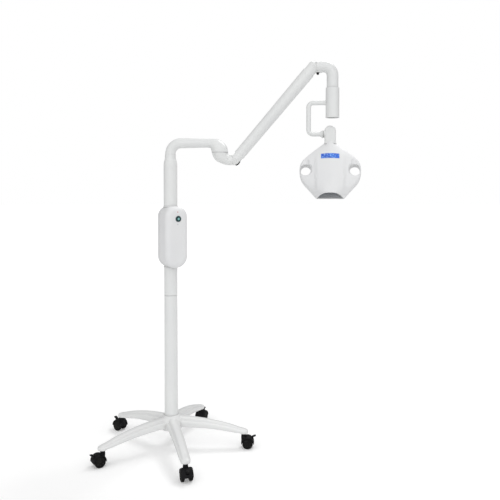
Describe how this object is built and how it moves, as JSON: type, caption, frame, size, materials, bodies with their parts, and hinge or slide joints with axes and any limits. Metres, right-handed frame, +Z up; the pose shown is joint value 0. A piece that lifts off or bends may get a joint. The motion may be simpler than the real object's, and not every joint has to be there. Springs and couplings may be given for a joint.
{
  "type": "dental curing lamp",
  "caption": "Mobile dental curing and whitening lamp: caster base, column with control box, spring-balanced arm, C bracket and kite-shaped lamp head.",
  "frame": {"origin": "on the floor, straight below the column's axis", "axes": "+Z up along the column; +X along the stored arms; -Y the side the control box and the head's light outlet lean towards"},
  "size_m": [0.9675, 0.6117, 1.4468],
  "materials": {
    "white_base": "satin white enamel on cast metal",
    "white_paint": "semi-gloss white powder coat",
    "white_cast": "white enamelled aluminium casting",
    "white_shell": "satin white ABS",
    "black_nylon": "matte black nylon",
    "black_wheel": "hard black wheel nylon",
    "black_rubber": "matte black rubber",
    "zinc_steel": "bright zinc-plated steel",
    "bearing_plastic": "grey acetal",
    "teal_ring": "dark teal gloss",
    "teal_cap": "light teal translucent",
    "red_lamp": "red lamp window",
    "circuit_board": "green solder mask",
    "supply_case": "black potted module",
    "grey_nozzle": "dark grey moulding",
    "clear_lens": "clear polycarbonate",
    "mirror_film": "bright metallised film",
    "bare_aluminium": "extruded",
    "blue_label": "blue printed label, no lettering"
  },
  "bodies": {
    "stand": {"base_spider": "white_base", "caster_sockets": "black_nylon", "hub_bolt": "zinc_steel", "lower_column": "white_paint", "upper_column": "white_paint", "swivel_bushes": "bearing_plastic", "box_front_shell": "white_shell", "box_rear_shell": "white_shell", "box_screws": "zinc_steel", "button_bezel": "teal_ring", "status_lamp": "red_lamp", "control_board": "circuit_board", "power_supply": "supply_case", "mains_inlet": "black_nylon"},
    "power_button": {"power_button": "teal_cap"},
    "first_arm": {"first_arm_tube": "white_paint", "top_elbow": "white_paint", "elbow_bush": "bearing_plastic"},
    "elbow": {"lower_elbow": "white_paint", "lower_bumper": "black_rubber", "lower_link_pin": "zinc_steel"},
    "spring_arm": {"spring_arm_tube": "white_paint", "lower_pivot_pin": "zinc_steel", "upper_pivot_pin": "zinc_steel", "balance_spring": "zinc_steel", "spring_rod": "zinc_steel"},
    "parallel_link": {"parallel_link": "zinc_steel"},
    "wrist": {"wrist_elbow": "white_paint", "upper_link_pin": "zinc_steel", "upper_bumper": "black_rubber"},
    "yoke": {"swivel_sleeve": "white_paint", "sleeve_bushes": "bearing_plastic", "c_bracket": "white_paint", "tilt_pin": "zinc_steel", "friction_washers": "black_rubber"},
    "head": {"neck_knuckle": "white_cast", "head_front_shell": "white_shell", "head_back_shell": "white_shell", "head_screws": "zinc_steel", "nozzle_rim": "grey_nozzle", "outlet_lens": "clear_lens", "reflector": "mirror_film", "led_board": "circuit_board", "heat_sink": "bare_aluminium", "head_label": "blue_label"},
    "caster_0": {"caster_0_hood": "black_nylon"},
    "caster_0_wheelset": {"caster_0_wheels": "black_wheel"},
    "caster_0_brake": {"caster_0_pedal": "black_nylon"},
    "caster_1": {"caster_1_hood": "black_nylon"},
    "caster_1_wheelset": {"caster_1_wheels": "black_wheel"},
    "caster_1_brake": {"caster_1_pedal": "black_nylon"},
    "caster_2": {"caster_2_hood": "black_nylon"},
    "caster_2_wheelset": {"caster_2_wheels": "black_wheel"},
    "caster_2_brake": {"caster_2_pedal": "black_nylon"},
    "caster_3": {"caster_3_hood": "black_nylon"},
    "caster_3_wheelset": {"caster_3_wheels": "black_wheel"},
    "caster_3_brake": {"caster_3_pedal": "black_nylon"},
    "caster_4": {"caster_4_hood": "black_nylon"},
    "caster_4_wheelset": {"caster_4_wheels": "black_wheel"},
    "caster_4_brake": {"caster_4_pedal": "black_nylon"}
  },
  "joints": [
    {"name": "arm_swivel", "type": "hinge", "parent": "stand", "child": "first_arm", "pos_m": [0, 0, 1.1], "axis": [0, 0, 1], "range_deg": [-165, 165]},
    {"name": "elbow_swivel", "type": "hinge", "parent": "first_arm", "child": "elbow", "pos_m": [0.1843, 0, 1.1077], "axis": [0, 0, 1], "range_deg": [-140, 140]},
    {"name": "arm_pitch", "type": "hinge", "parent": "elbow", "child": "spring_arm", "pos_m": [0.24, 0, 1.079], "axis": [0, -1, 0], "range_deg": [-75, 12]},
    {"name": "link_pitch", "type": "hinge", "parent": "elbow", "child": "parallel_link", "pos_m": [0.24376, 0, 1.06866], "axis": [0, -1, 0], "range_deg": [-75, 12]},
    {"name": "wrist_level", "type": "hinge", "parent": "spring_arm", "child": "wrist", "pos_m": [0.5293, 0, 1.4225], "axis": [0, -1, 0], "range_deg": [-12, 75]},
    {"name": "head_swivel", "type": "hinge", "parent": "wrist", "child": "yoke", "pos_m": [0.602, 0, 1.29], "axis": [0, 0, 1], "range_deg": [-160, 160]},
    {"name": "head_tilt", "type": "hinge", "parent": "yoke", "child": "head", "pos_m": [0.59406, 0.00097, 1.176], "axis": [-0.9925, 0.1219, 0], "range_deg": [-40, 50]},
    {"name": "button_press", "type": "slide", "parent": "stand", "child": "power_button", "axis": [-0.5299, 0.848, 0], "range_m": [0, 0.002], "stiffness_N_per_m": 600, "springref_m": -0.001},
    {"name": "caster_0_swivel", "type": "hinge", "parent": "stand", "child": "caster_0", "pos_m": [0.27196, -0.00475, 0.06], "axis": [0, 0, 1], "continuous": true},
    {"name": "caster_0_roll", "type": "hinge", "parent": "caster_0", "child": "caster_0_wheelset", "pos_m": [0.28696, -0.00501, 0.02], "axis": [0.0175, 0.9998, 0], "continuous": true},
    {"name": "caster_0_brake_pedal", "type": "hinge", "parent": "caster_0", "child": "caster_0_brake", "pos_m": [0.30295, -0.00529, 0.033], "axis": [-0.0175, -0.9998, 0], "range_deg": [0, 18]},
    {"name": "caster_1_swivel", "type": "hinge", "parent": "stand", "child": "caster_1", "pos_m": [0.08855, 0.25718, 0.06], "axis": [0, 0, 1], "continuous": true},
    {"name": "caster_1_roll", "type": "hinge", "parent": "caster_1", "child": "caster_1_wheelset", "pos_m": [0.09344, 0.27136, 0.02], "axis": [-0.9455, 0.3256, 0], "continuous": true},
    {"name": "caster_1_brake_pedal", "type": "hinge", "parent": "caster_1", "child": "caster_1_brake", "pos_m": [0.09865, 0.28649, 0.033], "axis": [0.9455, -0.3256, 0], "range_deg": [0, 18]},
    {"name": "caster_2_swivel", "type": "hinge", "parent": "stand", "child": "caster_2", "pos_m": [-0.21723, 0.16369, 0.06], "axis": [0, 0, 1], "continuous": true},
    {"name": "caster_2_roll", "type": "hinge", "parent": "caster_2", "child": "caster_2_wheelset", "pos_m": [-0.22921, 0.17272, 0.02], "axis": [-0.6018, -0.7986, 0], "continuous": true},
    {"name": "caster_2_brake_pedal", "type": "hinge", "parent": "caster_2", "child": "caster_2_brake", "pos_m": [-0.24199, 0.18235, 0.033], "axis": [0.6018, 0.7986, 0], "range_deg": [0, 18]},
    {"name": "caster_3_swivel", "type": "hinge", "parent": "stand", "child": "caster_3", "pos_m": [-0.22281, -0.15601, 0.06], "axis": [0, 0, 1], "continuous": true},
    {"name": "caster_3_roll", "type": "hinge", "parent": "caster_3", "child": "caster_3_wheelset", "pos_m": [-0.2351, -0.16462, 0.02], "axis": [0.5736, -0.8192, 0], "continuous": true},
    {"name": "caster_3_brake_pedal", "type": "hinge", "parent": "caster_3", "child": "caster_3_brake", "pos_m": [-0.2482, -0.17379, 0.033], "axis": [-0.5736, 0.8192, 0], "range_deg": [0, 18]},
    {"name": "caster_4_swivel", "type": "hinge", "parent": "stand", "child": "caster_4", "pos_m": [0.07953, -0.26011, 0.06], "axis": [0, 0, 1], "continuous": true},
    {"name": "caster_4_roll", "type": "hinge", "parent": "caster_4", "child": "caster_4_wheelset", "pos_m": [0.08391, -0.27446, 0.02], "axis": [0.9563, 0.2924, 0], "continuous": true},
    {"name": "caster_4_brake_pedal", "type": "hinge", "parent": "caster_4", "child": "caster_4_brake", "pos_m": [0.08859, -0.28976, 0.033], "axis": [-0.9563, -0.2924, 0], "range_deg": [0, 18]}
  ],
  "couplings": [
    {"joint": "link_pitch", "follows": "arm_pitch", "ratio": 1},
    {"joint": "wrist_level", "follows": "arm_pitch", "ratio": -1}
  ]
}
